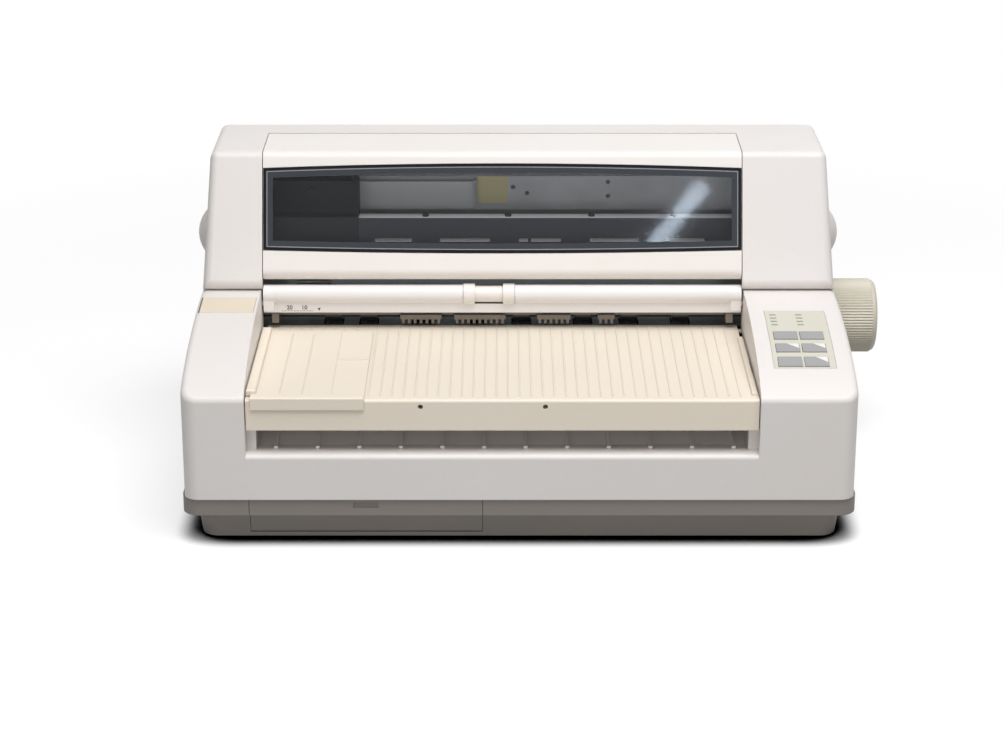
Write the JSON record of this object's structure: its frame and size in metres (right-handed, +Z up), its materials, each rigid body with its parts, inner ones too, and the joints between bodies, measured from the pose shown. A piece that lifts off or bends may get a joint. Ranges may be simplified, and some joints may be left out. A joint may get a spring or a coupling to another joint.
{
  "type": "dot matrix printer",
  "caption": "Wide flat bed dot matrix printer with a hinged windowed cover, ribbed paper table, paper guide bar, side knob and moving print carriage.",
  "frame": {"origin": "middle of the bottom of the outer box, on the desk", "axes": "+X to the printer's right, along the carriage; -Y is the front; +Z is up"},
  "size_m": [0.6581, 0.402, 0.3],
  "materials": {
    "case_white": "fine satin moulded",
    "cover_white": "fine satin moulded",
    "base_grey": "fine textured",
    "table_cream": "fine satin moulded",
    "knob_beige": "satin moulded",
    "smoked_window": "polished smoked acrylic",
    "panel_sheet": "printed film",
    "key_grey": "matt",
    "lamp_lens": "clear tinted",
    "plated_steel": "zinc plated sheet",
    "bright_steel": "ground",
    "dark_steel": "black coated",
    "black_plastic": "matt moulded",
    "grey_plastic": "matt moulded",
    "gear_white": "acetal",
    "black_rubber": "matt rubber",
    "bronze": "sintered",
    "board_green": "lacquered board",
    "cable_white": "flat film",
    "head_alloy": "cast fins"
  },
  "bodies": {
    "printer_body": {"base_tray": "base_grey", "rubber_feet": "black_rubber", "lower_case": "case_white", "upper_case": "case_white", "side_caps": "case_white", "front_chute": "grey_plastic", "control_sheet": "panel_sheet", "indicator_lamps": "lamp_lens", "control_board": "board_green", "blank_plate": "table_cream", "chassis_plate": "plated_steel", "side_frame_left": "plated_steel", "side_frame_right": "plated_steel", "front_beam": "plated_steel", "beam_screws": "dark_steel", "back_plate": "plated_steel", "paper_bed": "plated_steel", "paper_combs": "grey_plastic", "shaft_bushes": "bronze", "feed_motor": "dark_steel", "guide_rod": "bright_steel", "timing_belt": "black_rubber", "idler_bracket": "plated_steel", "carriage_motor": "dark_steel", "head_cable": "cable_white", "power_supply": "plated_steel", "main_board": "board_green", "mains_inlet": "black_plastic", "interface_port": "black_plastic", "switch_housing": "black_plastic"},
    "cover": {"front_cover": "cover_white", "cover_window": "smoked_window"},
    "guide_bar": {"paper_guide_bar": "cover_white", "bar_handle": "cover_white", "bar_end_caps": "cover_white"},
    "table": {"paper_table": "table_cream"},
    "side_guide": {"edge_guide": "table_cream"},
    "door": {"base_door": "base_grey"},
    "platen": {"platen_roller": "black_rubber", "platen_shaft": "bright_steel", "platen_knob": "knob_beige", "platen_gear": "gear_white"},
    "feed": {"feed_shaft": "bright_steel", "feed_rollers": "black_rubber", "feed_gear": "gear_white"},
    "pinch": {"pinch_rollers": "black_plastic"},
    "pinion": {"motor_pinion": "bright_steel"},
    "idler": {"idler_gear": "gear_white"},
    "print_carriage": {"carriage": "black_plastic", "print_head": "head_alloy", "ribbon_cartridge": "black_plastic"},
    "belt_drive": {"drive_pulley": "bright_steel"},
    "belt_idler": {"idler_pulley": "gear_white"},
    "rocker": {"power_switch": "black_plastic"},
    "key_cap_1": {"key_1": "key_grey"},
    "key_cap_2": {"key_2": "key_grey"},
    "key_cap_3": {"key_3": "key_grey"},
    "key_cap_4": {"key_4": "key_grey"},
    "key_cap_5": {"key_5": "key_grey"},
    "key_cap_6": {"key_6": "key_grey"}
  },
  "joints": [
    {"name": "cover_hinge", "type": "hinge", "parent": "printer_body", "child": "cover", "pos_m": [-0.0201, 0.1005, 0.2965], "axis": [-1, 0, 0], "range_deg": [0, 95]},
    {"name": "guide_bar_hinge", "type": "hinge", "parent": "printer_body", "child": "guide_bar", "pos_m": [-0.0201, -0.001, 0.161], "axis": [-1, 0, 0], "range_deg": [0, 55]},
    {"name": "table_hinge", "type": "hinge", "parent": "printer_body", "child": "table", "pos_m": [-0.0201, 0.003, 0.1312], "axis": [-1, 0, 0], "range_deg": [0, 24]},
    {"name": "edge_guide_slide", "type": "slide", "parent": "table", "child": "side_guide", "axis": [1, 0, 0], "range_m": [0, 0.11]},
    {"name": "base_door_hinge", "type": "hinge", "parent": "printer_body", "child": "door", "pos_m": [-0.0201, -0.18681, 0.0086], "axis": [1, 0, 0], "range_deg": [0, 65]},
    {"name": "platen_spin", "type": "hinge", "parent": "printer_body", "child": "platen", "pos_m": [-0.0201, 0.075, 0.1237], "axis": [1, 0, 0], "continuous": true},
    {"name": "feed_spin", "type": "hinge", "parent": "printer_body", "child": "feed", "pos_m": [-0.0201, 0.023, 0.1267], "axis": [1, 0, 0], "continuous": true},
    {"name": "pinch_spin", "type": "hinge", "parent": "printer_body", "child": "pinch", "pos_m": [-0.0201, 0.023, 0.1416], "axis": [1, 0, 0], "continuous": true},
    {"name": "pinion_spin", "type": "hinge", "parent": "printer_body", "child": "pinion", "pos_m": [-0.0201, 0.08697, 0.10118], "axis": [1, 0, 0], "continuous": true},
    {"name": "idler_spin", "type": "hinge", "parent": "printer_body", "child": "idler", "pos_m": [-0.0201, 0.049, 0.1252], "axis": [1, 0, 0], "continuous": true},
    {"name": "carriage_slide", "type": "slide", "parent": "printer_body", "child": "print_carriage", "axis": [1, 0, 0], "range_m": [0, 0.345]},
    {"name": "drive_pulley_spin", "type": "hinge", "parent": "printer_body", "child": "belt_drive", "pos_m": [0.1859, -0.001, 0.182], "axis": [0, 1, 0], "range_deg": [0, 2326]},
    {"name": "idler_pulley_spin", "type": "hinge", "parent": "printer_body", "child": "belt_idler", "pos_m": [-0.2581, -0.001, 0.182], "axis": [0, 1, 0], "range_deg": [0, 2326]},
    {"name": "power_switch_rock", "type": "hinge", "parent": "printer_body", "child": "rocker", "pos_m": [-0.1701, 0.195, 0.066], "axis": [1, 0, 0], "range_deg": [0, 14]},
    {"name": "key_1_press", "type": "slide", "parent": "printer_body", "child": "key_cap_1", "axis": [0, 0.161, -0.987], "range_m": [0, 0.0007], "stiffness_N_per_m": 200, "springref_m": -0.0005},
    {"name": "key_2_press", "type": "slide", "parent": "printer_body", "child": "key_cap_2", "axis": [0, 0.161, -0.987], "range_m": [0, 0.0007], "stiffness_N_per_m": 200, "springref_m": -0.0005},
    {"name": "key_3_press", "type": "slide", "parent": "printer_body", "child": "key_cap_3", "axis": [0, 0.2005, -0.9797], "range_m": [0, 0.0007], "stiffness_N_per_m": 200, "springref_m": -0.0005},
    {"name": "key_4_press", "type": "slide", "parent": "printer_body", "child": "key_cap_4", "axis": [0, 0.2005, -0.9797], "range_m": [0, 0.0007], "stiffness_N_per_m": 200, "springref_m": -0.0005},
    {"name": "key_5_press", "type": "slide", "parent": "printer_body", "child": "key_cap_5", "axis": [0, 0.2623, -0.965], "range_m": [0, 0.0007], "stiffness_N_per_m": 200, "springref_m": -0.0005},
    {"name": "key_6_press", "type": "slide", "parent": "printer_body", "child": "key_cap_6", "axis": [0, 0.2623, -0.965], "range_m": [0, 0.0007], "stiffness_N_per_m": 200, "springref_m": -0.0005}
  ],
  "couplings": [
    {"joint": "feed_spin", "follows": "platen_spin", "ratio": 1},
    {"joint": "idler_spin", "follows": "platen_spin", "ratio": -2.4},
    {"joint": "pinion_spin", "follows": "platen_spin", "ratio": -2.4},
    {"joint": "pinch_spin", "follows": "platen_spin", "ratio": -1.6364},
    {"joint": "drive_pulley_spin", "follows": "carriage_slide", "rad_per_m": 117.65},
    {"joint": "idler_pulley_spin", "follows": "carriage_slide", "rad_per_m": 117.65}
  ]
}
